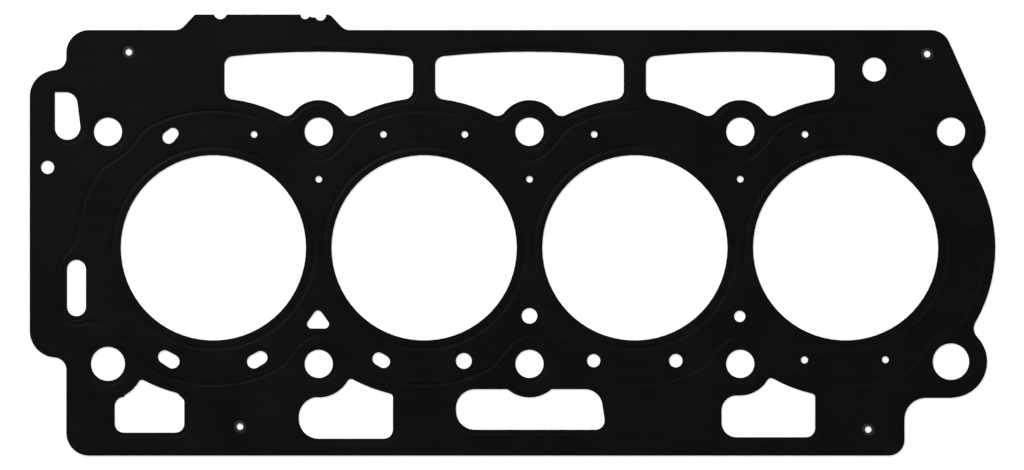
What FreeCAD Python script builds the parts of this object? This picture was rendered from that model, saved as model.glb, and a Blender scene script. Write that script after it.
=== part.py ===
import FreeCAD, Part
import math
import os
from FreeCAD import Vector

# Cylinder head gasket of a small four-cylinder engine, in millimetres, lying as it would
# rest on the block. X runs along the cylinder row, Y across it and Z up. The origin is
# the middle of the head bolt pattern, on the face that lies on the block.

# Sheets of the pack, from the block to the head
cover_sheet = 0.25
spacer_sheet = 0.75
stopper_sheet = 0.10

# Cylinders, with the metal between two of them
bore_radius = 38.2
bore_web = 10.6

# Head bolts and dowels
bolt_row = 47.9
bolt_hole_radius = 5.8
left_dowel_radius = 7.0
right_dowel_radius = 7.5
right_dowel_rise = 0.9

# Sealing bead pressed round each cylinder
bead_land = 2.1
bead_width = 2.6
bead_depth = 0.18

# Metal left round the cylinders, the bolt holes and the left dowel hole
jacket_rim = 23.6
end_rim = 23.6
top_boss_rim = 7.3
bottom_boss_rim = 8.1
last_boss_rim = 7.3
dowel_boss_rim = 7.7
ear_rim = 8.5
dowel_ear_rim = 7.4

# Edges of the plate, measured from the bolt rows and the end bolts, with the drop of the
# left step below the top edge
top_margin = 42.0
bottom_margin = 37.9
left_margin = 17.2
left_step_run = 15.1
upper_step_drop = 16.5
lower_step_inset = 2.6
right_step_inset = 19.2
right_step_drop = 14.1

# Corners of the outer edge
step_corner = 11.0
plate_corner = 9.4
right_step_root = 8.8
right_step_corner = 6.5
slant_angle = 23.9
slant_corner = 8.2
root_radius = 5.0

# Tab with the thickness notches, which are given from the end that they stand by
tab_lead = 7.6
tab_width = 55.8
tab_height = 6.4
tab_foot_run = 6.0
tab_end_corner = 2.6
left_notch = (10.5, 0.9, 2.8)
right_notches = ((-10.3, 0.0, 1.9), (-7.1, 0.7, 1.9), (-4.0, -0.2, 2.3))

# Windows over the return channels, above the upper bolt row
window_corner = 3.8
top_window_bridge = 9.2
top_window_web = 11.2
top_window_crown = 2.2

# Windows below the lower bolt row, each as its reach to the left and right of its bolt,
# the web under it and the drop of its shoulder below the bolt row. The cut is the drop
# of the foot of the first window's cut corner.
valley_radius = 1.6
window_one = (2.8, 31.5, 9.5, 13.7)
window_one_cut = 15.0
window_two = (-8.2, 30.6, 7.0, 13.7)
window_three = (-30.3, 31.6, 10.7, 10.5)
window_four = (-7.7, 30.9, 7.6, 13.1)
window_two_end = 8.2
window_three_left = 7.8
window_three_right = 7.2
window_three_slant = 2.5
window_four_end = 6.2

# Oil and vent passages: the round hole is given from the last cylinder's middle and the
# top edge, and the others from the left step's edge
oil_hole = (11.8, 16.3, 4.9)
vent_hole = (7.4, 33.2, 2.7)
slot_inset = 19.3
slot_low = -28.2
slot_high = -5.0
slot_width = 7.8

# Drain in the left step, given from the step's left and upper edges
drain_wall = 10.4
drain_web = 9.2
drain_bulge = (15.6, 23.5, 5.3)
drain_shoulder = (14.9, 14.0, 4.8)

# Coolant holes by the bolts, each as its run along X from its cylinder's middle, its
# inset from the bolt row and its radius
upper_hole_run = 16.8
upper_hole_inset = 1.1
small_hole_radius = 1.35
second_cylinder_hole = (16.4, 1.2, 3.25)
third_cylinder_holes = ((-17.0, 1.3, 2.7), (16.9, 1.3, 2.75))
last_cylinder_holes = ((-17.0, 1.6, 1.45), (16.4, 1.7, 1.4))

# Coolant slots by the bolts, as the runs and insets of their two ends and both radii
upper_slot = (-18.4, 2.3, -16.7, 0.7, 2.6, 2.3)
first_cylinder_slots = (
    (-20.1, 2.9, -16.9, 1.0, 2.7, 2.9),
    (16.7, 0.9, 19.6, 2.6, 2.8, 2.7),
)
second_cylinder_slot = (-18.7, 2.1, -16.7, 0.9, 2.6, 2.6)

# Coolant holes in the webs between the cylinders, from the bolt beside them
web_hole_inset = 19.6
middle_web_hole = (0.0, 19.8, 3.2)
fourth_web_hole = (-0.2, 19.6, 2.3)
web_triangle_shift = -0.3
web_triangle_low = 14.6
web_triangle_top = 23.3
web_triangle_half = 6.2
web_triangle_corner = 1.8

# Hollow rivets that hold the sheets together, each as its run along X from the hole
# that it is named after and its inset from the nearer long edge
first_bolt_rivet = (8.6, 9.1)
last_bolt_rivet = (-9.9, 9.9)
first_cylinder_rivet = (11.0, 12.0)
last_cylinder_rivet = (9.3, 10.8)
rivet_bore_radius = 1.35
rivet_wall = 0.5
rivet_fit = 0.05

thickness = 2.0 * cover_sheet + spacer_sheet + stopper_sheet
bore_pitch = 2.0 * bore_radius + bore_web
bore_places = [(k - 1.5) * bore_pitch for k in range(4)]
bolt_places = [(k - 2.0) * bore_pitch for k in range(5)]
right_dowel_y = right_dowel_rise - bolt_row
jacket_radius = bore_radius + jacket_rim
top_edge = bolt_row + top_margin
bottom_edge = -bolt_row - bottom_margin
left_edge = bolt_places[0] - left_margin
left_step_edge = left_edge - left_step_run
upper_step = top_edge - upper_step_drop
lower_step = lower_step_inset - bolt_row
tab_left = bore_places[0] - tab_lead
tab_right = tab_left + tab_width
rivet_places = [
    (bolt_places[0] + first_bolt_rivet[0], top_edge - first_bolt_rivet[1]),
    (bolt_places[4] + last_bolt_rivet[0], top_edge - last_bolt_rivet[1]),
    (bore_places[0] + first_cylinder_rivet[0], bottom_edge + first_cylinder_rivet[1]),
    (bore_places[3] + last_cylinder_rivet[0], bottom_edge + last_cylinder_rivet[1]),
]


def disc(x, y, radius):
    """Flat round face."""
    return Part.Face(Part.Wire(Part.makeCircle(radius, Vector(x, y, 0))))


def rounded_face(corners):
    """Flat face of a polygon whose corners are given as x, y and radius."""
    count = len(corners)
    points = [Vector(x, y, 0) for x, y, radius in corners]
    cuts = []
    for k in range(count):
        here = points[k]
        back = (points[k - 1] - here).normalize()
        ahead = (points[(k + 1) % count] - here).normalize()
        radius = corners[k][2]
        half = back.getAngle(ahead) / 2.0
        run = radius / math.tan(half)
        middle = back + ahead
        if radius:
            middle = middle.normalize() * (radius / math.sin(half) - radius)
        cuts.append((here + back * run, here + middle, here + ahead * run, radius))
    edges = []
    for k in range(count):
        start, middle, end, radius = cuts[k]
        after = cuts[(k + 1) % count][0]
        if radius:
            edges.append(Part.Arc(start, middle, end).toShape())
        if end.distanceToPoint(after) > 1e-6:
            edges.append(Part.LineSegment(end, after).toShape())
    return Part.Face(Part.Wire(edges))


def rectangle(left, bottom, right, top):
    """Flat face with square corners."""
    corners = [(left, bottom, 0), (right, bottom, 0), (right, top, 0), (left, top, 0)]
    return rounded_face(corners)


def slot_face(x1, y1, x2, y2, radius1, radius2):
    """Flat face of a slot whose two round ends may differ in radius."""
    along = Vector(x2 - x1, y2 - y1, 0)
    lean = math.acos((radius1 - radius2) / along.Length)
    heading = math.atan2(along.y, along.x)

    def point(x, y, radius, angle):
        return Vector(x + radius * math.cos(angle), y + radius * math.sin(angle), 0)

    near_left = point(x1, y1, radius1, heading + lean)
    near_end = point(x1, y1, radius1, heading + math.pi)
    near_right = point(x1, y1, radius1, heading - lean)
    far_right = point(x2, y2, radius2, heading - lean)
    far_end = point(x2, y2, radius2, heading)
    far_left = point(x2, y2, radius2, heading + lean)
    edges = [
        Part.Arc(near_left, near_end, near_right).toShape(),
        Part.LineSegment(near_right, far_right).toShape(),
        Part.Arc(far_right, far_end, far_left).toShape(),
        Part.LineSegment(far_left, near_left).toShape(),
    ]
    return Part.Face(Part.Wire(edges))


def flat(shape):
    """Largest face of a flat boolean result, with its split edges joined."""
    return max(shape.removeSplitter().Faces, key=lambda face: face.Area)


def round_outer_corners(face, radius):
    """Round the corners that point outwards, by going in and out again.

    A tip that is too narrow for the radius falls off.
    """
    inner = face.OuterWire.makeOffset2D(-radius)
    body = max(inner.Wires, key=lambda wire: Part.Face(wire).Area)
    return Part.Face(body.makeOffset2D(radius))


def round_inner_corners(face, radius):
    """Round the corners that point inwards, by going out and in again."""
    outer = face.OuterWire.makeOffset2D(radius)
    return Part.Face(outer.makeOffset2D(-radius))


def top_window(bolt_x):
    """Window with a crowned upper edge, between two cylinders and round a bolt."""
    half = (bore_pitch - top_window_bridge) / 2.0
    crown_radius = (half**2 + top_window_crown**2) / (2.0 * top_window_crown)
    high = top_edge - top_window_web + top_window_crown
    blank = rectangle(bolt_x - half, bolt_row, bolt_x + half, high)
    crowned = flat(blank.common(disc(bolt_x, high - crown_radius, crown_radius)))
    rims = [disc(x, 0, jacket_radius) for x in bore_places]
    rims.append(disc(bolt_x, bolt_row, bolt_hole_radius + top_boss_rim))
    return round_outer_corners(flat(crowned.cut(rims)), window_corner)


def corner_cutter(x, low, high):
    """Triangle that takes the upper right corner off a window at 45 degrees."""
    return rounded_face([(x, low, 0), (x, high, 0), (x - high + low, high, 0)])


def bottom_window(sizes, end_corner, bolt_x, boss_radius, cut_drop=None):
    """Window under the lower bolt row, with its peak between a boss and a rim."""
    left_reach, right_reach, web, drop = sizes
    left = bolt_x + left_reach
    right = bolt_x + right_reach
    bottom = bottom_edge + web
    shoulder = -bolt_row - drop
    end_corner = min(end_corner, (shoulder - bottom) / 2.0)
    end = rounded_face(
        [
            (left, bottom, end_corner),
            (right, bottom, window_corner),
            (right, shoulder, 0),
            (left, shoulder, end_corner),
        ]
    )
    peak = rectangle(max(bolt_x, left), shoulder, right, -bolt_row)
    cutters = [disc(x, 0, jacket_radius) for x in bore_places]
    if cut_drop:
        cutters.append(corner_cutter(right, -bolt_row - cut_drop, -bolt_row))
    rimmed = round_outer_corners(flat(end.fuse(peak).cut(cutters)), valley_radius)
    boss = disc(bolt_x, -bolt_row, boss_radius)
    return round_outer_corners(flat(rimmed.cut(boss)), valley_radius)


def middle_window():
    """Long window under the middle bolt, with one slanted end."""
    left_reach, right_reach, web, drop = window_three
    left = bolt_places[2] + left_reach
    right = bolt_places[2] + right_reach
    bottom = bottom_edge + web
    top = -bolt_row - drop
    left_corner = min(window_three_left, (top - bottom) / 2.0)
    blank = rounded_face(
        [
            (left, bottom, left_corner),
            (right, bottom, window_corner),
            (right - window_three_slant, top, window_three_right),
            (left, top, left_corner),
        ]
    )
    boss_radius = bolt_hole_radius + bottom_boss_rim
    return flat(blank.cut(disc(bolt_places[2], -bolt_row, boss_radius)))


def windows():
    """All the windows of the plate."""
    first, second, middle, fourth, last = bolt_places
    dowel_boss = left_dowel_radius + dowel_boss_rim
    bottom_boss = bolt_hole_radius + bottom_boss_rim
    last_boss = bolt_hole_radius + last_boss_rim
    faces = [top_window(x) for x in (second, middle, fourth)]
    faces.append(
        bottom_window(window_one, window_corner, first, dowel_boss, window_one_cut)
    )
    faces.append(bottom_window(window_two, window_two_end, second, bottom_boss))
    faces.append(middle_window())
    faces.append(bottom_window(window_four, window_four_end, fourth, last_boss))
    return faces


def outline():
    """Outer edge: a stepped plate, the notched tab, two bolt ears and the round end."""
    last_bolt = bolt_places[4]
    right_step_edge = last_bolt - right_step_inset
    right_step = -bolt_row - right_step_drop
    tab_top = top_edge + tab_height
    ear_radius = bolt_hole_radius + ear_rim
    dowel_ear_radius = right_dowel_radius + dowel_ear_rim
    slant = math.radians(slant_angle)
    slant_foot_x = last_bolt + ear_radius * math.cos(slant)
    slant_foot_y = bolt_row + ear_radius * math.sin(slant)
    slant_top_x = slant_foot_x - (top_edge - slant_foot_y) * math.tan(slant)
    plate = rounded_face(
        [
            (left_step_edge, lower_step, step_corner),
            (left_edge, lower_step, 0),
            (left_edge, bottom_edge, plate_corner),
            (right_step_edge, bottom_edge, right_step_corner),
            (right_step_edge, right_step, right_step_root),
            (last_bolt, right_step, 0),
            (last_bolt, bolt_row, 0),
            (slant_foot_x, slant_foot_y, 0),
            (slant_top_x, top_edge, slant_corner),
            (tab_right + tab_foot_run, top_edge, 0),
            (tab_right, tab_top, tab_end_corner),
            (tab_left, tab_top, 0),
            (tab_left - tab_foot_run, top_edge, 0),
            (left_edge, top_edge, plate_corner),
            (left_edge, upper_step, 0),
            (left_step_edge, upper_step, step_corner),
        ]
    )
    ears = [
        disc(last_bolt, bolt_row, ear_radius),
        disc(last_bolt, right_dowel_y, dowel_ear_radius),
        disc(bore_places[3], 0, bore_radius + end_rim),
    ]
    body = round_inner_corners(flat(plate.fuse(ears)), root_radius)
    run, rise, radius = left_notch
    notches = [disc(tab_left + run, tab_top + rise, radius)]
    notches += [disc(tab_right + x, tab_top + y, r) for x, y, r in right_notches]
    return body.cut(notches)


def bolt_holes():
    """Ten bolt holes, of which the two lower end ones also take dowels."""
    faces = [disc(x, bolt_row, bolt_hole_radius) for x in bolt_places]
    faces += [disc(x, -bolt_row, bolt_hole_radius) for x in bolt_places[1:4]]
    faces.append(disc(bolt_places[0], -bolt_row, left_dowel_radius))
    faces.append(disc(bolt_places[4], right_dowel_y, right_dowel_radius))
    return faces


def drain_hole():
    """D-shaped passage in the left step, with a flat outer side."""
    side_x = left_step_edge + drain_wall
    top = upper_step - drain_web
    bulge_x = left_step_edge + drain_bulge[0]
    bulge_y = upper_step - drain_bulge[1]
    bulge_radius = drain_bulge[2]
    shoulder_x = left_step_edge + drain_shoulder[0]
    shoulder_y = upper_step - drain_shoulder[1]
    belly = slot_face(
        bulge_x, bulge_y, shoulder_x, shoulder_y, bulge_radius, drain_shoulder[2]
    )
    side = rectangle(side_x, bulge_y, shoulder_x, top)
    frame = rectangle(side_x, bulge_y - bulge_radius, bulge_x + bulge_radius, top)
    return flat(belly.fuse(side).common(frame))


def row_hole(middle_x, side, run, inset, radius):
    """Round hole by the upper bolt row where side is 1, or by the lower where it is -1."""
    return disc(middle_x + run, side * (bolt_row - inset), radius)


def row_slot(middle_x, side, sizes):
    """Slot by one of the bolt rows."""
    run1, inset1, run2, inset2, radius1, radius2 = sizes
    y1 = side * (bolt_row - inset1)
    y2 = side * (bolt_row - inset2)
    return slot_face(middle_x + run1, y1, middle_x + run2, y2, radius1, radius2)


def web_triangle():
    """Rounded triangular coolant hole between the first two cylinders."""
    x = bolt_places[1] + web_triangle_shift
    low = web_triangle_low - bolt_row
    return rounded_face(
        [
            (x - web_triangle_half, low, web_triangle_corner),
            (x + web_triangle_half, low, web_triangle_corner),
            (x, web_triangle_top - bolt_row, web_triangle_corner),
        ]
    )


def coolant_holes():
    """Metering holes and slots between the cylinders and the bolts."""
    first, second, third, last = bore_places
    upper = [x + upper_hole_run for x in (first, second)]
    upper += [x - upper_hole_run for x in (second, third, last)]
    faces = [row_hole(x, 1, 0, upper_hole_inset, small_hole_radius) for x in upper]
    webs = bolt_places[1:4]
    faces += [row_hole(x, 1, 0, web_hole_inset, small_hole_radius) for x in webs]
    faces.append(row_hole(second, -1, *second_cylinder_hole))
    faces += [row_hole(third, -1, *sizes) for sizes in third_cylinder_holes]
    faces += [row_hole(last, -1, *sizes) for sizes in last_cylinder_holes]
    faces.append(row_hole(bolt_places[2], -1, *middle_web_hole))
    faces.append(row_hole(bolt_places[3], -1, *fourth_web_hole))
    faces.append(row_slot(first, 1, upper_slot))
    faces += [row_slot(first, -1, sizes) for sizes in first_cylinder_slots]
    faces.append(row_slot(second, -1, second_cylinder_slot))
    faces.append(web_triangle())
    return faces


def oil_passages():
    """Round oil hole, vent hole and long slot, with the drain in the left step."""
    oil_run, oil_web, oil_radius = oil_hole
    vent_inset, vent_y, vent_radius = vent_hole
    slot_x = left_step_edge + slot_inset
    slot_end = slot_width / 2.0
    return [
        disc(bore_places[3] + oil_run, top_edge - oil_web, oil_radius),
        disc(left_step_edge + vent_inset, vent_y, vent_radius),
        slot_face(
            slot_x, slot_low + slot_end, slot_x, slot_high - slot_end, slot_end, slot_end
        ),
        drain_hole(),
    ]


def rivet_holes():
    """Holes that the rivet shanks pass through."""
    radius = rivet_bore_radius + rivet_wall + rivet_fit
    return [disc(x, y, radius) for x, y in rivet_places]


def bead_cutter(x, face_z, inward):
    """Ring of V section that presses one bead into one face round one cylinder."""
    middle = bore_radius + bead_land + bead_width / 2.0
    points = [
        Vector(middle - bead_width, 0, face_z - inward * bead_depth),
        Vector(middle, 0, face_z + inward * bead_depth),
        Vector(middle + bead_width, 0, face_z - inward * bead_depth),
    ]
    ring = Part.Face(Part.makePolygon(points + points[:1]))
    ring.translate(Vector(x, 0, 0))
    return ring.revolve(Vector(x, 0, 0), Vector(0, 0, 1), 360)


def gasket_plate():
    """The riveted pack of sheets, with its holes, windows and pressed beads."""
    bores = [disc(x, 0, bore_radius) for x in bore_places]
    holes = bores + bolt_holes() + coolant_holes() + oil_passages() + rivet_holes()
    face = flat(outline().cut(holes + windows()))
    plate = face.extrude(Vector(0, 0, thickness))
    cutters = []
    for x in bore_places:
        cutters.append(bead_cutter(x, thickness, -1))
        cutters.append(bead_cutter(x, 0, 1))
    return plate.cut(cutters)


def rivet(x, y):
    """Hollow rivet through the pack, rolled flush with both faces."""
    shank = Part.makeCylinder(rivet_bore_radius + rivet_wall, thickness, Vector(x, y, 0))
    return shank.cut(Part.makeCylinder(rivet_bore_radius, thickness, Vector(x, y, 0)))


def main():
    os.makedirs("parts", exist_ok=True)
    gasket_plate().exportStep("parts/gasket_plate.step")
    for k, (x, y) in enumerate(rivet_places):
        rivet(x, y).exportStep(f"parts/rivet_{k + 1}.step")


main()
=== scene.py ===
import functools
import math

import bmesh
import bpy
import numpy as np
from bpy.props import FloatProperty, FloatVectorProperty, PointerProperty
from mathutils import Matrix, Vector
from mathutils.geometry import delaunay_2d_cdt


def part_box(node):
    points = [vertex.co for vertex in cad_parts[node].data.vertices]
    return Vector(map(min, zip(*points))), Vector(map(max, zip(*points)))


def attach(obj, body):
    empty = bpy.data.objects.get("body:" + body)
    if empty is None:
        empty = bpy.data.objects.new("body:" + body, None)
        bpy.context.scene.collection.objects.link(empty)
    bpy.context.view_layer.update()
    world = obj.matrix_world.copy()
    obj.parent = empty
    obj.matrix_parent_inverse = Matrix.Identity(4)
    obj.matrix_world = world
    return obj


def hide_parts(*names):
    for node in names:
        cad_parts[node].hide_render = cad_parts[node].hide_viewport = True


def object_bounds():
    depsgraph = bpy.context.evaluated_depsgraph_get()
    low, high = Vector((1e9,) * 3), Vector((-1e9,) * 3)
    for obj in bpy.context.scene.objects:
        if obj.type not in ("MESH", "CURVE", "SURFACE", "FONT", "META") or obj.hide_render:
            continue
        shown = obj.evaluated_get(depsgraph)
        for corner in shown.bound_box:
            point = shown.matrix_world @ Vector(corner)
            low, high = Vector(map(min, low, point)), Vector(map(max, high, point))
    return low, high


bl_info = {
    "name": "Head gasket",
    "version": (1, 0, 0),
    "blender": (4, 5, 0),
    "location": "3D View > Sidebar > Gasket",
    "description": "Dresses the head gasket with its sheets, beads, rivets and coating",
    "category": "Object",
}

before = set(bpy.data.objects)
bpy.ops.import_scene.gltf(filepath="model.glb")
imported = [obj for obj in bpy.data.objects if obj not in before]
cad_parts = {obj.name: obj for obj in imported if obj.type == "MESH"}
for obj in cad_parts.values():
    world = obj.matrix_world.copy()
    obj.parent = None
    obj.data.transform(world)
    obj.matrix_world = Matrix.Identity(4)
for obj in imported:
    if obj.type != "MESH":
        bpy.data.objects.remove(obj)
cad_low, cad_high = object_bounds()

MM = 0.001
PLATE = "gasket_plate"
RIVETS = sorted(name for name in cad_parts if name.startswith("rivet"))

# Points nearer to each other than this, in millimetres, are one point
MERGE = 0.0005


class Value:
    """Number socket of a shader whose arithmetic adds Math nodes."""

    def __init__(self, tree, socket):
        self.tree = tree
        self.socket = socket

    def _math(self, operation, first, second):
        node = self.tree.add("ShaderNodeMath", {"operation": operation}, {0: first, 1: second})
        return node["Value"]

    def __add__(self, other):
        return self._math("ADD", self, other)

    def __radd__(self, other):
        return self._math("ADD", other, self)

    def __sub__(self, other):
        return self._math("SUBTRACT", self, other)

    def __rsub__(self, other):
        return self._math("SUBTRACT", other, self)

    def __mul__(self, other):
        return self._math("MULTIPLY", self, other)

    def __rmul__(self, other):
        return self._math("MULTIPLY", other, self)

    def over(self, other):
        """The larger of the two."""
        return self._math("MAXIMUM", self, other)


class Tree:
    """Node tree of a material or the world, emptied and then filled by one method."""

    # Roughness of each noise, and the numbers of a colour mix's two colour sockets, which
    # share their names with other sockets
    NOISE_ROUGHNESS = 0.55
    FIRST_COLOUR = 6
    SECOND_COLOUR = 7

    def __init__(self, owner):
        owner.use_nodes = True
        self.nodes = owner.node_tree.nodes
        self.links = owner.node_tree.links
        self.nodes.clear()

    def add(self, kind, settings=None, sockets=None):
        """Adds a node, sets it up, fills its sockets and gives its outputs by name."""
        node = self.nodes.new(kind)
        for key, value in (settings or {}).items():
            if key == "stops":
                self._set_stops(node.color_ramp, value)
            else:
                setattr(node, key, value)
        for key, value in (sockets or {}).items():
            if isinstance(value, Value):
                self.links.new(value.socket, node.inputs[key])
            else:
                node.inputs[key].default_value = value
        return {out.name: Value(self, out) for out in node.outputs if out.enabled}

    def _set_stops(self, ramp, stops):
        while len(ramp.elements) < len(stops):
            ramp.elements.new(1.0)
        for element, (position, grey) in zip(ramp.elements, stops):
            element.position = position
            element.color = (grey, grey, grey, 1.0)

    def place(self):
        """Place on the piece, in metres."""
        return self.add("ShaderNodeTexCoord")["Object"]

    def noise(self, place, scale, detail):
        """Noise from 0 to 1, with a scale in features per metre."""
        sockets = {
            "Vector": place,
            "Scale": scale,
            "Detail": detail,
            "Roughness": self.NOISE_ROUGHNESS,
        }
        return self.add("ShaderNodeTexNoise", {}, sockets)["Fac"]

    def streaks(self, place, scales, detail):
        """Noise with a scale of its own along each axis."""
        settings = {"operation": "MULTIPLY"}
        scaled = self.add("ShaderNodeVectorMath", settings, {0: place, 1: scales})["Vector"]
        return self.noise(scaled, 1.0, detail)

    def rise(self, value, low, high):
        """Ramp of a value, 0 up to the low level and 1 from the high one."""
        settings = {"stops": ((low, 0.0), (high, 1.0))}
        return self.add("ShaderNodeValToRGB", settings, {"Fac": value})["Color"]

    def blend(self, share, first, second):
        """Colour between two colours."""
        sockets = {
            "Factor": share,
            self.FIRST_COLOUR: (*first, 1.0),
            self.SECOND_COLOUR: (*second, 1.0),
        }
        return self.add("ShaderNodeMix", {"data_type": "RGBA"}, sockets)["Result"]

    def bump(self, height, distance, normal=None):
        """Normal bent by a height from 0 to 1 that stands for a distance in metres."""
        sockets = {"Height": height, "Distance": distance}
        if normal:
            sockets["Normal"] = normal
        return self.add("ShaderNodeBump", {}, sockets)["Normal"]

    def surface(self, sockets):
        """Principled surface on the output."""
        shader = self.add("ShaderNodeBsdfPrincipled", {}, sockets)["BSDF"]
        self.add("ShaderNodeOutputMaterial", {}, {"Surface": shader})


class GasketSizes(bpy.types.PropertyGroup):
    """Sizes of the pressed forms and the sheets."""

    cover_sheet: FloatProperty(
        name="Cover sheet",
        description="Thickness of the upper and lower sheets",
        default=0.25 * MM,
        unit="LENGTH",
        precision=6,
    )
    sheet_gap: FloatProperty(
        name="Gap between sheets",
        description="Fine gap that shows between two sheets at a cut edge",
        default=0.05 * MM,
        unit="LENGTH",
        precision=6,
    )
    spacer_inset: FloatProperty(
        name="Spacer inset",
        description="How far the spacer's edges lie behind the cover sheets' edges",
        default=0.12 * MM,
        unit="LENGTH",
        precision=6,
    )
    stopper_sheet: FloatProperty(
        name="Stopper ring",
        description="Thickness of the stopper rings",
        default=0.10 * MM,
        unit="LENGTH",
        precision=6,
    )
    stopper_width: FloatProperty(
        name="Stopper width",
        description="Radial width of the stopper rings",
        default=3.0 * MM,
        unit="LENGTH",
        precision=6,
    )
    bead_land: FloatProperty(
        name="Bead land",
        description="Flat ring between a cylinder opening and its bead",
        default=2.1 * MM,
        unit="LENGTH",
        precision=6,
    )
    bead_width: FloatProperty(
        name="Bead width",
        description="Width of the bead round a cylinder opening",
        default=2.6 * MM,
        unit="LENGTH",
        precision=6,
    )
    bead_depth: FloatProperty(
        name="Bead depth",
        description="Depth of the bead round a cylinder opening",
        default=0.18 * MM,
        unit="LENGTH",
        precision=6,
    )
    field_drop: FloatProperty(
        name="Field drop",
        description="How far the sheet lies below the lands round the cylinders",
        default=0.03 * MM,
        unit="LENGTH",
        precision=6,
    )
    rim_width: FloatProperty(
        name="Rim width",
        description="Flat rim round a bolt hole, window or oil passage",
        default=1.6 * MM,
        unit="LENGTH",
        precision=6,
    )
    rim_ramp: FloatProperty(
        name="Rim ramp",
        description="Width of the half bead that joins a rim to the sheet",
        default=0.8 * MM,
        unit="LENGTH",
        precision=6,
    )
    rim_drop: FloatProperty(
        name="Rim drop",
        description="How far a rim lies below the sheet",
        default=0.11 * MM,
        unit="LENGTH",
        precision=6,
    )
    jacket_radius: FloatProperty(
        name="Jacket bead radius",
        description="Radius of the bead that encloses the coolant holes, round each cylinder",
        default=56.6 * MM,
        unit="LENGTH",
        precision=6,
    )
    jacket_width: FloatProperty(
        name="Jacket bead width",
        description="Width of the bead that encloses the coolant holes",
        default=2.0 * MM,
        unit="LENGTH",
        precision=6,
    )
    jacket_depth: FloatProperty(
        name="Jacket bead depth",
        description="Depth of the bead that encloses the coolant holes",
        default=0.14 * MM,
        unit="LENGTH",
        precision=6,
    )
    flange_radius: FloatProperty(
        name="Rivet flange",
        description="Outer radius of the rolled ends of the rivets",
        default=2.5 * MM,
        unit="LENGTH",
        precision=6,
    )
    flange_sheet: FloatProperty(
        name="Rivet flange thickness",
        description="Thickness of the rolled ends of the rivets",
        default=0.16 * MM,
        unit="LENGTH",
        precision=6,
    )


class GasketFinish(bpy.types.PropertyGroup):
    """Colours of the coating and the bare steel."""

    coating: FloatVectorProperty(
        name="Coating",
        description="Elastomer coating of the sheets",
        default=(0.0009, 0.0009, 0.0010),
        subtype="COLOR",
        min=0.0,
        max=1.0,
    )
    coating_light: FloatVectorProperty(
        name="Thin coating",
        description="Coating where it is rubbed thin",
        default=(0.0026, 0.0025, 0.0024),
        subtype="COLOR",
        min=0.0,
        max=1.0,
    )
    cut_steel: FloatVectorProperty(
        name="Cut steel",
        description="Sheared edges of the sheets",
        default=(0.24, 0.235, 0.23),
        subtype="COLOR",
        min=0.0,
        max=1.0,
    )
    rivet_steel: FloatVectorProperty(
        name="Rivet steel",
        description="Blackened steel of the rivets",
        default=(0.005, 0.005, 0.0052),
        subtype="COLOR",
        min=0.0,
        max=1.0,
    )


class StudioSettings(bpy.types.PropertyGroup):
    """Floor, lamps and camera."""

    floor_colour: FloatVectorProperty(
        name="Floor",
        description="Colour of the floor",
        default=(0.86, 0.86, 0.86),
        subtype="COLOR",
        min=0.0,
        max=1.0,
    )
    floor_glow: FloatProperty(
        name="Floor glow",
        description="Light that the floor adds to what the camera sees of it",
        default=0.4,
        subtype="FACTOR",
        min=0.0,
        max=1.0,
    )
    world_level: FloatProperty(
        name="World level",
        description="Strength of the even light from all round",
        default=0.35,
        subtype="FACTOR",
        min=0.0,
        max=2.0,
    )
    key_power: FloatProperty(
        name="Key lamp",
        description="Power of the smaller, stronger lamp",
        default=22.0,
        unit="POWER",
        min=0.0,
    )
    fill_power: FloatProperty(
        name="Fill lamp",
        description="Power of the larger, weaker lamp",
        default=12.0,
        unit="POWER",
        min=0.0,
    )
    view_width: FloatProperty(
        name="View width",
        description="Width that the camera takes in",
        default=0.4228,
        unit="LENGTH",
        precision=4,
    )
    camera_height: FloatProperty(
        name="Camera height",
        description="Height of the camera above the floor",
        default=3.0,
        unit="LENGTH",
    )


class InMillimetres:
    """Lengths of a property group, read in millimetres."""

    def __init__(self, group):
        self.group = group

    def __getattr__(self, name):
        return getattr(self.group, name) / MM


def gasket_sizes(context):
    """The scene's gasket sizes, in millimetres."""
    return InMillimetres(context.scene.gasket_sizes)


def thickness():
    """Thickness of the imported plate, in millimetres."""
    low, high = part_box(PLATE)
    return (high.z - low.z) / MM


def centre_of(node):
    """Middle of a node from above, in millimetres."""
    low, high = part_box(node)
    return np.array((low + high)[:2]) / 2.0 / MM


def wall_loops(node):
    """Closed outlines of a node's upright walls at their upper edge, largest first.

    Each runs with the metal on its left.
    """
    decimals = 4
    upright = 0.01
    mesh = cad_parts[node].data
    points = np.array([vertex.co for vertex in mesh.vertices]) / MM
    on_top = points[:, 2] > points[:, 2].max() - MERGE
    places = [tuple(point) for point in np.round(points[:, :2], decimals)]
    follows = {}
    for face in mesh.polygons:
        if abs(face.normal.z) > upright:
            continue
        corners = list(face.vertices)
        for start, end in zip(corners, corners[1:] + corners[:1]):
            if on_top[start] and on_top[end]:
                follows[places[end]] = places[start]
    loops = []
    while follows:
        first, point = follows.popitem()
        loop = [first]
        while point != first:
            loop.append(point)
            point = follows.pop(point)
        loops.append(np.array(loop))
    return sorted(loops, key=area_of, reverse=True)


def area_of(loop):
    """Area inside a closed loop of points."""
    x, y = loop.T
    return abs(np.dot(x, np.roll(y, -1)) - np.dot(y, np.roll(x, -1))) / 2.0


def radii_of(loop):
    """Distance of each point of a loop from its middle."""
    return np.linalg.norm(loop - loop.mean(axis=0), axis=1)


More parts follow.
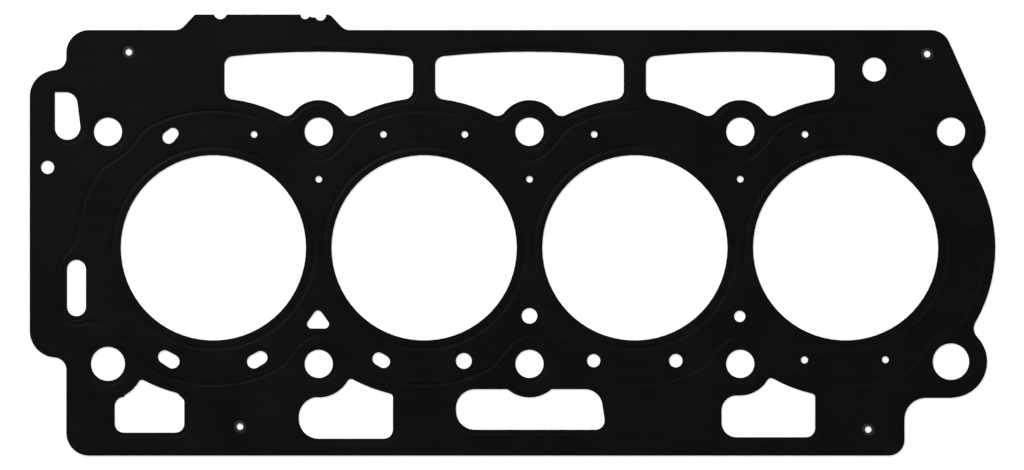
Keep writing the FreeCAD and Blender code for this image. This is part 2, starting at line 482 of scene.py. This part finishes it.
def offset_loop(loop, distance):
    """The loop moved by a distance to the side that its metal lies on."""
    least_stretch = 0.5
    ahead = np.roll(loop, -1, axis=0) - loop
    ahead /= np.linalg.norm(ahead, axis=1)[:, None]
    side = np.stack([-ahead[:, 1], ahead[:, 0]], axis=1)
    middle = side + np.roll(side, 1, axis=0)
    middle /= np.linalg.norm(middle, axis=1)[:, None]
    stretch = np.clip((middle * side).sum(axis=1), least_stretch, 1.0)
    return loop + middle * (distance / stretch)[:, None]


def closed(loop):
    """The loop with its first point repeated at the end."""
    return np.concatenate([loop, loop[:1]])


def circle(centre, radius, count):
    """Closed ring of points, with the first repeated at the end."""
    angles = np.linspace(0.0, 2.0 * math.pi, count + 1)
    return centre + radius * np.stack([np.cos(angles), np.sin(angles)], axis=1)


def loop_edges(loops):
    """Starts and ends of all the edges of some loops."""
    return np.concatenate(loops), np.concatenate([np.roll(loop, -1, axis=0) for loop in loops])


def in_batches(measure, points):
    """What a function gives for each point, worked out for a batch of them at a time."""
    batch = 2000
    parts = [measure(points[k : k + batch]) for k in range(0, len(points), batch)]
    return np.concatenate(parts)


def distance_to_loops(points, loops):
    """Distance from each point to the nearest edge of some loops."""
    starts, ends = loop_edges(loops)
    run = ends - starts
    length2 = (run**2).sum(axis=1)

    def nearest(some):
        gap = some[:, None, :] - starts
        share = np.clip((gap * run).sum(axis=2) / length2, 0.0, 1.0)
        gap -= share[:, :, None] * run
        return np.sqrt((gap**2).sum(axis=2).min(axis=1))

    return in_batches(nearest, points)


def inside_metal(points, loops):
    """Whether each point lies inside an odd number of the loops."""
    least_rise = 1e-12
    starts, ends = loop_edges(loops)
    rise = ends[:, 1] - starts[:, 1]
    rise[rise == 0.0] = least_rise

    def inside(some):
        x, y = some[:, 0:1], some[:, 1:2]
        spans = (starts[:, 1] > y) != (ends[:, 1] > y)
        crossing = starts[:, 0] + (y - starts[:, 1]) * (ends[:, 0] - starts[:, 0]) / rise
        return (spans & (x < crossing)).sum(axis=1) % 2 == 1

    return in_batches(inside, points)


def ease(share):
    """Smooth step from 0 to 1."""
    share = np.clip(share, 0.0, 1.0)
    return share * share * (3.0 - 2.0 * share)


def groove(across):
    """Rounded groove, 1 in its middle and 0 from a distance of 1 across it."""
    return 0.5 + 0.5 * np.cos(math.pi * np.clip(np.abs(across), 0.0, 1.0))


def soft_least(first, second, reach):
    """Smaller of two fields, with a rounded meeting line."""
    overlap = np.clip(reach - np.abs(first - second), 0.0, None) / reach
    return np.minimum(first, second) - overlap**2 * reach / 4.0


class Plan:
    """Flat layout of the gasket: its outlines, and the fields that the beads follow."""

    # Areas, in square millimetres, by which the cylinder openings, the openings with a
    # rim and the bolt holes are told from the other holes
    BORE_AREA = 4000.0
    SEALED_AREA = 60.0
    BOLT_AREA = (100.0, 180.0)

    # How much the radii of a round hole may differ, and the least length of a slot over
    # its width
    ROUND_SPREAD = 0.05
    SLOT_RATIO = 2.5

    # Webs between the jacket bead and a bolt hole or a slot, and the reach of its turns
    BOLT_WEB = 4.2
    SLOT_WEB = 3.4
    TURN_REACH = 8.0

    # Distance that no point of the gasket has
    FAR = 1000.0

    def __init__(self):
        self.loops = wall_loops(PLATE)
        holes = self.loops[1:]
        bores = [loop for loop in holes if area_of(loop) > self.BORE_AREA]
        self.bore_centres = [loop.mean(axis=0) for loop in bores]
        self.bore_radius = math.sqrt(area_of(bores[0]) / math.pi)
        others = holes[len(bores) :]
        self.sealed = [loop for loop in others if area_of(loop) > self.SEALED_AREA]
        self.bolts = []
        self.slots = []
        for loop in self.sealed:
            self._sort_out(loop)
        self.rivets = [centre_of(name) for name in RIVETS]

    def _sort_out(self, loop):
        """Notes a bolt hole's centre and radius, or a slot."""
        low, high = self.BOLT_AREA
        if not low < area_of(loop) < high:
            return
        radii = radii_of(loop)
        width, length = np.ptp(loop, axis=0)
        if np.ptp(radii) < self.ROUND_SPREAD:
            self.bolts.append((loop.mean(axis=0), radii.mean()))
        elif length > self.SLOT_RATIO * width:
            self.slots.append(loop)

    def bore_distance(self, points):
        """Distance from each point to the edge of the nearest cylinder opening."""
        gaps = [np.linalg.norm(points - centre, axis=-1) for centre in self.bore_centres]
        return np.min(gaps, axis=0) - self.bore_radius

    def jacket_field(self, points, radius):
        """Distance from the line of the bead that encloses the coolant holes."""
        field = np.full(points.shape[:-1], self.FAR)
        for centre in self.bore_centres:
            gap = np.linalg.norm(points - centre, axis=-1) - radius
            field = soft_least(field, gap, self.TURN_REACH)
        for loop in self.slots:
            low, high = loop.min(axis=0), loop.max(axis=0)
            middle = (low[0] + high[0]) / 2.0
            half = (high[0] - low[0]) / 2.0
            nearest = np.clip(points[..., 1], low[1] + half, high[1] - half)
            gap = np.hypot(points[..., 0] - middle, points[..., 1] - nearest)
            field = soft_least(field, gap - half - self.SLOT_WEB, self.TURN_REACH)
        for centre, bolt_radius in self.bolts:
            gap = np.linalg.norm(points - centre, axis=-1) - bolt_radius - self.BOLT_WEB
            field = -soft_least(-field, gap, self.TURN_REACH)
        return field


@functools.cache
def the_plan():
    """The gasket's layout, read once."""
    return Plan()


def field_lines(plan, radius, levels):
    """Short lines along the levels of the jacket field, by marching squares."""
    step = 1.5
    low = plan.loops[0].min(axis=0)
    high = plan.loops[0].max(axis=0)
    xs = np.arange(low[0], high[0] + step, step)
    ys = np.arange(low[1], high[1] + step, step)
    grid = np.stack(np.meshgrid(xs, ys, indexing="ij"), axis=-1)
    field = plan.jacket_field(grid, radius)
    lines = []
    for level in levels:
        cells = {}
        for axis in (0, 1):
            for (i, j), share in crossings(field, level, axis):
                point = grid[i, j].copy()
                point[axis] += share * step
                beside = (i, j - 1) if axis == 0 else (i - 1, j)
                for cell in ((i, j), beside):
                    cells.setdefault(cell, []).append(point)
        lines += [pair for pair in cells.values() if len(pair) == 2]
    return lines


def crossings(field, level, axis):
    """Steps along an axis of a grid on which a field passes a level, and how far along."""
    near = field[:-1] if axis == 0 else field[:, :-1]
    far = field[1:] if axis == 0 else field[:, 1:]
    for place in zip(*np.nonzero((near > level) != (far > level))):
        yield place, (level - near[place]) / (far[place] - near[place])


def profile_stops(start, width, count):
    """Places across a bead, with one more beside each of its edges."""
    beside = 0.15
    inner = np.linspace(start, start + width, count)
    return [start - beside, *inner, start + width + beside]


class CoverRelief:
    """Pressed forms of a cover sheet: the lines that its mesh needs, and its depth."""

    # Stops across a bead, a half bead, the jacket bead and a dish
    BEAD_STOPS = 9
    RIM_STOPS = 4
    JACKET_STOPS = 7
    DISH_STOPS = 4

    # Points round a bead and a dish
    BEAD_POINTS = 144
    DISH_POINTS = 32

    # Flat ring round a rivet's flange in its dish, the dish's slope, and how much deeper
    # the dish is than the flange
    DISH_LEAD = 0.15
    DISH_RAMP = 0.6
    DISH_SPARE = 0.02

    def __init__(self, plan, sizes):
        self.plan = plan
        self.sizes = sizes

    def lines(self):
        """Lines along the edges and slopes of the pressed forms."""
        plan, sizes = self.plan, self.sizes
        lines = []
        for centre in plan.bore_centres:
            for gap in profile_stops(sizes.bead_land, sizes.bead_width, self.BEAD_STOPS):
                lines.append(circle(centre, plan.bore_radius + gap, self.BEAD_POINTS))
        for loop in plan.sealed:
            for gap in profile_stops(sizes.rim_width, sizes.rim_ramp, self.RIM_STOPS):
                lines.append(closed(offset_loop(loop, gap)))
        levels = profile_stops(-sizes.jacket_width / 2.0, sizes.jacket_width, self.JACKET_STOPS)
        lines += field_lines(plan, sizes.jacket_radius, levels)
        for centre in plan.rivets:
            for gap in profile_stops(self.DISH_LEAD, self.DISH_RAMP, self.DISH_STOPS):
                lines.append(circle(centre, sizes.flange_radius + gap, self.DISH_POINTS))
        return lines

    def depth(self, points):
        """Depth of each point below the sheet's highest level, in millimetres."""
        pressed = self.beads(points) + self.rims(points)
        return np.max([pressed, self.jacket(points), *self.dishes(points)], axis=0)

    def beads(self, points):
        """Bead round each cylinder, between its land and the lower field."""
        sizes = self.sizes
        share = (self.plan.bore_distance(points) - sizes.bead_land) / sizes.bead_width
        deep = sizes.bead_depth - sizes.field_drop / 2.0
        return sizes.field_drop * ease(share) + deep * groove(2.0 * share - 1.0)

    def rims(self, points):
        """Rims round the bolt holes, windows and oil passages, with their half beads."""
        sizes = self.sizes
        gap = distance_to_loops(points, self.plan.sealed)
        return sizes.rim_drop * (1.0 - ease((gap - sizes.rim_width) / sizes.rim_ramp))

    def jacket(self, points):
        """Bead that encloses the coolant holes."""
        sizes = self.sizes
        across = self.plan.jacket_field(points, sizes.jacket_radius) * 2.0 / sizes.jacket_width
        deep = sizes.field_drop + sizes.jacket_depth * groove(across)
        return np.where(np.abs(across) < 1.0, deep, 0.0)

    def dishes(self, points):
        """Dish under the flange of each rivet, one after another."""
        deep = self.sizes.flange_sheet + self.DISH_SPARE
        for centre in self.plan.rivets:
            gap = np.linalg.norm(points - centre, axis=1) - self.sizes.flange_radius
            yield deep * (1.0 - ease((gap - self.DISH_LEAD) / self.DISH_RAMP))


def triangulate(loops, lines):
    """Points and triangles of the metal between the loops, and where each loop point went."""
    points = []
    edges = []
    for loop in loops:
        first = len(points)
        points += [Vector(point) for point in loop]
        edges += [(first + k, first + (k + 1) % len(loop)) for k in range(len(loop))]
    on_loops = len(points)
    for line in lines:
        first = len(points)
        points += [Vector(point) for point in line]
        edges += [(first + k, first + k + 1) for k in range(len(line) - 1)]
    found, _, faces, sources, _, _ = delaunay_2d_cdt(points, edges, [], 0, MERGE)
    flat = np.array([tuple(point) for point in found])
    faces = np.array(faces)
    kept = inside_metal(flat[faces].mean(axis=1), loops)
    places = np.zeros(len(points), int)
    for k, merged in enumerate(sources):
        places[merged] = k
    return flat, faces[kept], places[:on_loops]


def rim_chains(faces):
    """Closed chains of points round the edges of a triangulated sheet."""
    sides = {(face[k], face[(k + 1) % 3]) for face in faces.tolist() for k in range(3)}
    follows = {start: end for start, end in sides if (end, start) not in sides}
    chains = []
    for start in sorted(follows):
        chain = []
        while start in follows:
            chain.append(start)
            start = follows.pop(start)
        if chain:
            chains.append(chain)
    return chains


def sheet_piece(name, loops, lines, depth, flat_z, face_z):
    """Sheet with a flat face and a pressed one, whose heights are in millimetres.

    Its faces take its first material, and its cut edges the second.
    """
    cut_edge = 1
    pressed, pressed_faces, _ = triangulate(loops, lines)
    chains = rim_chains(pressed_faces)
    plain, plain_faces, places = triangulate([pressed[chain] for chain in chains], [])
    inward = math.copysign(1.0, flat_z - face_z)
    pressed_z = face_z + inward * depth(pressed)
    shift = len(pressed)
    vertices = np.concatenate(
        [
            np.column_stack([pressed, pressed_z]),
            np.column_stack([plain, np.full(len(plain), flat_z)]),
        ]
    )
    faces = pressed_faces.tolist() + (plain_faces[:, ::-1] + shift).tolist()
    opposite = iter((places + shift).tolist())
    walls = []
    for chain in chains:
        across = [next(opposite) for _ in chain]
        for k in range(len(chain)):
            walls.append((chain[k - 1], across[k - 1], across[k], chain[k]))
    mesh = bpy.data.meshes.new(name)
    mesh.from_pydata(vertices * MM, [], faces + walls)
    for wall in mesh.polygons[len(faces) :]:
        wall.material_index = cut_edge
    return finished(name, mesh)


def lathe_piece(name, centre, section, count):
    """Ring turned from a closed section of radius and height, in millimetres."""
    vertices = []
    for k in range(count):
        angle = 2.0 * math.pi * k / count
        for radius, height in section:
            x = centre[0] + radius * math.cos(angle)
            y = centre[1] + radius * math.sin(angle)
            vertices.append((x * MM, y * MM, height * MM))
    size = len(section)
    faces = []
    for k in range(count):
        here, after = k * size, (k + 1) % count * size
        for j in range(size):
            i = (j + 1) % size
            faces.append((here + j, after + j, after + i, here + i))
    mesh = bpy.data.meshes.new(name)
    mesh.from_pydata(vertices, [], faces)
    return finished(name, mesh)


def finished(name, mesh):
    """Object of a mesh with its normals outwards, smooth but for its sharp edges."""
    sharp = math.radians(30.0)
    work = bmesh.new()
    work.from_mesh(mesh)
    bmesh.ops.dissolve_degenerate(work, dist=MERGE * MM, edges=work.edges)
    bmesh.ops.recalc_face_normals(work, faces=work.faces)
    for face in work.faces:
        face.smooth = True
    for edge in work.edges:
        edge.smooth = edge.calc_face_angle(math.pi) < sharp
    work.to_mesh(mesh)
    work.free()
    piece = bpy.data.objects.new(name, mesh)
    bpy.context.scene.collection.objects.link(piece)
    return piece


def seat(piece, materials, node):
    """Gives a piece its materials and its body, and hides the node that it stands for."""
    for material in materials:
        piece.data.materials.append(material)
    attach(piece, "root")
    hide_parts(node)


def named_material(name):
    """The material of a name, and its emptied tree."""
    material = bpy.data.materials.get(name) or bpy.data.materials.new(name)
    return material, Tree(material)


def coating_material(look):
    """Near-black elastomer over rolled sheet: satin, faintly clouded and streaked."""
    material, tree = named_material("coating")
    place = tree.place()
    cloud = tree.noise(place, scale=38.0, detail=4.0)
    streak = tree.streaks(place, scales=(14.0, 520.0, 14.0), detail=4.0)
    peel = tree.noise(place, scale=420.0, detail=2.0)
    speck = tree.noise(place, scale=1900.0, detail=2.0)
    thin = tree.rise(0.6 * cloud + 0.4 * streak, low=0.42, high=0.66)
    peeled = tree.bump(peel, distance=0.010 * MM)
    tree.surface(
        {
            "Base Color": tree.blend(thin, look.coating, look.coating_light),
            "Roughness": 0.3 + 0.16 * cloud + 0.08 * streak,
            "Specular IOR Level": 0.035,
            "Normal": tree.bump(speck, distance=0.003 * MM, normal=peeled),
        }
    )
    return material


def cut_steel_material(look):
    """Sheared edge of a steel sheet, with upright drag lines and dull stains."""
    stain_shade = 0.35
    material, tree = named_material("cut_steel")
    place = tree.place()
    drag = tree.streaks(place, scales=(3200.0, 3200.0, 800.0), detail=3.0)
    stain = tree.noise(place, scale=120.0, detail=3.0)
    dull = tree.rise(0.5 * drag + 0.5 * stain, low=0.35, high=0.62)
    stained = [stain_shade * part for part in look.cut_steel]
    tree.surface(
        {
            "Base Color": tree.blend(dull, look.cut_steel, stained),
            "Roughness": 0.32 + 0.28 * drag,
            "Metallic": 0.9,
            "Normal": tree.bump(drag, distance=0.008 * MM),
        }
    )
    return material


def rivet_material(look):
    """Blackened rivet steel, with small rubs."""
    rub_shade = 2.4
    material, tree = named_material("rivet_steel")
    rub = tree.noise(tree.place(), scale=900.0, detail=3.0)
    bright = tree.rise(rub, low=0.45, high=0.7)
    rubbed = [rub_shade * part for part in look.rivet_steel]
    tree.surface(
        {
            "Base Color": tree.blend(bright, look.rivet_steel, rubbed),
            "Roughness": 0.36 + 0.16 * rub,
            "Specular IOR Level": 0.15,
            "Normal": tree.bump(rub, distance=0.008 * MM),
        }
    )
    return material


def seen_directly(tree):
    """1 for what the camera sees, straight or in a gloss or through glass."""
    path = tree.add("ShaderNodeLightPath")
    return path["Is Camera Ray"].over(path["Is Glossy Ray"]).over(path["Is Transmission Ray"])


def floor_material(studio):
    """Pale floor that keeps the shadow and looks white to the camera."""
    material, tree = named_material("floor")
    diffuse = tree.add("ShaderNodeBsdfDiffuse", {}, {"Color": (*studio.floor_colour, 1.0)})
    glow = tree.add("ShaderNodeEmission", {}, {"Strength": studio.floor_glow * seen_directly(tree)})
    both = tree.add("ShaderNodeAddShader", {}, {0: diffuse["BSDF"], 1: glow["Emission"]})
    tree.add("ShaderNodeOutputMaterial", {}, {"Surface": both["Shader"]})
    return material


def build_world(level):
    """Even light from all round, which looks white to the camera."""
    world = bpy.data.worlds.new("studio")
    bpy.context.scene.world = world
    tree = Tree(world)
    seen = seen_directly(tree)
    sockets = {"Color": (1.0, 1.0, 1.0, 1.0), "Strength": seen + level * (1.0 - seen)}
    sky = tree.add("ShaderNodeBackground", {}, sockets)
    tree.add("ShaderNodeOutputWorld", {}, {"Surface": sky["Background"]})


def area_lamp(name, place, size, power):
    """Square soft lamp that looks at the origin."""
    lamp = bpy.data.lights.new(name, "AREA")
    lamp.size = size
    lamp.energy = power
    holder = bpy.data.objects.new(name, lamp)
    holder.location = place
    holder.rotation_mode = "QUATERNION"
    holder.rotation_quaternion = (-Vector(place)).to_track_quat("-Z", "Y")
    bpy.context.scene.collection.objects.link(holder)


def add_sheet(context, name, loops, lines, depth, flat_z, face_z):
    """Coated sheet with bare cut edges, as a piece of the plate."""
    look = context.scene.gasket_finish
    piece = sheet_piece(name, loops, lines, depth, flat_z, face_z)
    seat(piece, [coating_material(look), cut_steel_material(look)], PLATE)


def add_cover(context, name, flat_z, face_z):
    """Cover sheet, whose pressed forms are on the face away from the spacer."""
    plan = the_plan()
    relief = CoverRelief(plan, gasket_sizes(context))
    add_sheet(context, name, plan.loops, relief.lines(), relief.depth, flat_z, face_z)


class GASKET_OT_upper_cover(bpy.types.Operator):
    """Upper cover sheet with its pressed beads"""

    bl_idname = "gasket.upper_cover"
    bl_label = "Upper cover sheet"

    def execute(self, context):
        top = thickness()
        add_cover(context, "upper_cover", top - gasket_sizes(context).cover_sheet, top)
        return {"FINISHED"}


class GASKET_OT_lower_cover(bpy.types.Operator):
    """Lower cover sheet with its pressed beads"""

    bl_idname = "gasket.lower_cover"
    bl_label = "Lower cover sheet"

    def execute(self, context):
        add_cover(context, "lower_cover", gasket_sizes(context).cover_sheet, 0.0)
        return {"FINISHED"}


class GASKET_OT_spacer(bpy.types.Operator):
    """Thick spacer sheet, recessed round the cylinders for the stopper rings"""

    bl_idname = "gasket.spacer"
    bl_label = "Spacer sheet"

    # How far the recess goes past a stopper ring, the width of its slope, and the points
    # round it
    RECESS_LEAD = 0.15
    RECESS_RAMP = 0.1
    RECESS_POINTS = 144

    def execute(self, context):
        plan, sizes = the_plan(), gasket_sizes(context)
        recess = sizes.stopper_width + self.RECESS_LEAD
        loops = [offset_loop(loop, sizes.spacer_inset) for loop in plan.loops]
        lines = []
        for centre in plan.bore_centres:
            for extra in (0.0, self.RECESS_RAMP):
                radius = plan.bore_radius + recess + extra
                lines.append(circle(centre, radius, self.RECESS_POINTS))

        def depth(points):
            share = (plan.bore_distance(points) - recess) / self.RECESS_RAMP
            return sizes.stopper_sheet * (1.0 - np.clip(share, 0.0, 1.0))

        low = sizes.cover_sheet + sizes.sheet_gap
        add_sheet(context, "spacer_sheet", loops, lines, depth, low, thickness() - low)
        return {"FINISHED"}


class GASKET_OT_stoppers(bpy.types.Operator):
    """Stopper rings round the cylinders, between the spacer and the upper cover"""

    bl_idname = "gasket.stoppers"
    bl_label = "Stopper rings"

    # How far a ring lies behind the opening's edge and above the spacer, and the points
    # round it
    BORE_INSET = 0.03
    SEAT_GAP = 0.005
    TURN_POINTS = 132

    def execute(self, context):
        plan, sizes = the_plan(), gasket_sizes(context)
        material = cut_steel_material(context.scene.gasket_finish)
        high = thickness() - sizes.cover_sheet - sizes.sheet_gap
        low = high - sizes.stopper_sheet + self.SEAT_GAP
        near = plan.bore_radius + self.BORE_INSET
        far = plan.bore_radius + sizes.stopper_width
        section = [(near, low), (far, low), (far, high), (near, high)]
        for number, centre in enumerate(sorted(plan.bore_centres, key=tuple), start=1):
            piece = lathe_piece(f"stopper_ring_{number}", centre, section, self.TURN_POINTS)
            seat(piece, [material], PLATE)
        return {"FINISHED"}


class GASKET_OT_rivets(bpy.types.Operator):
    """Hollow rivets with rolled ends"""

    bl_idname = "gasket.rivets"
    bl_label = "Rivets"

    # Radius of the bore's rounded mouth, the share of a corner's radius by which its
    # middle point is cut back, and the points round a rivet
    MOUTH_RADIUS = 0.12
    CORNER_CUT = 0.3
    TURN_POINTS = 48

    def execute(self, context):
        sizes = gasket_sizes(context)
        material = rivet_material(context.scene.gasket_finish)
        for name, centre in zip(RIVETS, the_plan().rivets):
            shank, bore = [radii_of(loop).mean() for loop in wall_loops(name)]
            section = self.section(sizes, bore, shank)
            piece = lathe_piece(f"{name}_rolled", centre, section, self.TURN_POINTS)
            seat(piece, [material], name)
        return {"FINISHED"}

    def section(self, sizes, bore, shank):
        """Section of a rivet, whose lower half mirrors its upper one."""
        top = thickness()
        under = top - sizes.flange_sheet
        flange = sizes.flange_radius
        mouth = self.MOUTH_RADIUS
        edge = sizes.flange_sheet / 2.0
        mouth_cut = self.CORNER_CUT * mouth
        edge_cut = self.CORNER_CUT * edge
        half = [
            (bore, top / 2.0),
            (bore, top - mouth),
            (bore + mouth_cut, top - mouth_cut),
            (bore + mouth, top),
            (flange - edge, top),
            (flange - edge_cut, top - edge_cut),
            (flange, top - edge),
            (flange - edge_cut, under + edge_cut),
            (flange - edge, under),
            (shank, under),
            (shank, top / 2.0),
        ]
        return half + [(radius, top - height) for radius, height in half[-2:0:-1]]


class GASKET_OT_stage(bpy.types.Operator):
    """Floor, lamps, world and camera"""

    bl_idname = "gasket.stage"
    bl_label = "Stage"

    # Lengths and places in metres, but for the camera's sensor in millimetres
    FLOOR_RADIUS = 7.0
    FLOOR_POINTS = 64
    FLOOR_GAP = 0.02 * MM
    KEY_PLACE = (-0.6, 0.75, 1.7)
    KEY_SIZE = 0.5
    FILL_PLACE = (1.3, -0.9, 1.3)
    FILL_SIZE = 0.9
    SENSOR = 36.0
    CLIP_END = 50.0

    # Pixels of the photographed frame: its width, its middle and the gasket's origin
    PHOTO_WIDTH = 1024.0
    PHOTO_MIDDLE = (512.0, 235.0)
    PHOTO_ORIGIN = (529.5, 247.8)

    def execute(self, context):
        studio = context.scene.gasket_studio
        self.make_floor(context.scene, studio)
        build_world(studio.world_level)
        area_lamp("lamp_key", self.KEY_PLACE, self.KEY_SIZE, studio.key_power)
        area_lamp("lamp_fill", self.FILL_PLACE, self.FILL_SIZE, studio.fill_power)
        self.make_camera(context.scene, studio)
        context.scene.view_settings.view_transform = "Standard"
        return {"FINISHED"}

    def make_floor(self, scene, studio):
        """Round floor that the gasket lies on."""
        mesh = bpy.data.meshes.new("floor")
        work = bmesh.new()
        bmesh.ops.create_circle(
            work, cap_ends=True, segments=self.FLOOR_POINTS, radius=self.FLOOR_RADIUS
        )
        work.to_mesh(mesh)
        work.free()
        floor = bpy.data.objects.new("floor", mesh)
        scene.collection.objects.link(floor)
        floor.location.z = cad_low.z - self.FLOOR_GAP
        mesh.materials.append(floor_material(studio))

    def make_camera(self, scene, studio):
        """Camera that looks straight down on the middle of the photographed frame."""
        pixel = studio.view_width / self.PHOTO_WIDTH
        camera = bpy.data.cameras.new("camera")
        camera.sensor_width = self.SENSOR
        camera.lens = self.SENSOR * studio.camera_height / studio.view_width
        camera.clip_end = self.CLIP_END
        holder = bpy.data.objects.new("camera", camera)
        x = (self.PHOTO_MIDDLE[0] - self.PHOTO_ORIGIN[0]) * pixel
        y = (self.PHOTO_ORIGIN[1] - self.PHOTO_MIDDLE[1]) * pixel
        holder.location = (x, y, studio.camera_height)
        scene.collection.objects.link(holder)
        scene.camera = holder


class GASKET_PT_panel(bpy.types.Panel):
    """Sidebar panel that lists the steps"""

    bl_idname = "GASKET_PT_panel"
    bl_label = "Head gasket"
    bl_space_type = "VIEW_3D"
    bl_region_type = "UI"
    bl_category = "Gasket"

    def draw(self, context):
        for operator in OPERATORS:
            self.layout.operator(operator.bl_idname)
        for group in GROUPS:
            settings = getattr(context.scene, group)
            for name in settings.bl_rna.properties.keys():
                if name not in ("rna_type", "name"):
                    self.layout.prop(settings, name)


OPERATORS = (
    GASKET_OT_upper_cover,
    GASKET_OT_lower_cover,
    GASKET_OT_spacer,
    GASKET_OT_stoppers,
    GASKET_OT_rivets,
    GASKET_OT_stage,
)
GROUPS = {
    "gasket_sizes": GasketSizes,
    "gasket_finish": GasketFinish,
    "gasket_studio": StudioSettings,
}


def register():
    """Registers the property groups, the operators and the panel."""
    for name, group in GROUPS.items():
        bpy.utils.register_class(group)
        setattr(bpy.types.Scene, name, PointerProperty(type=group))
    for operator in OPERATORS:
        bpy.utils.register_class(operator)
    bpy.utils.register_class(GASKET_PT_panel)


def unregister():
    """Takes away what register added, in the opposite order."""
    bpy.utils.unregister_class(GASKET_PT_panel)
    for operator in reversed(OPERATORS):
        bpy.utils.unregister_class(operator)
    for name, group in reversed(GROUPS.items()):
        delattr(bpy.types.Scene, name)
        bpy.utils.unregister_class(group)


def main():
    register()
    bpy.ops.gasket.upper_cover()
    bpy.ops.gasket.lower_cover()
    bpy.ops.gasket.spacer()
    bpy.ops.gasket.stoppers()
    bpy.ops.gasket.rivets()
    bpy.ops.gasket.stage()


if __name__ == "__main__":
    main()
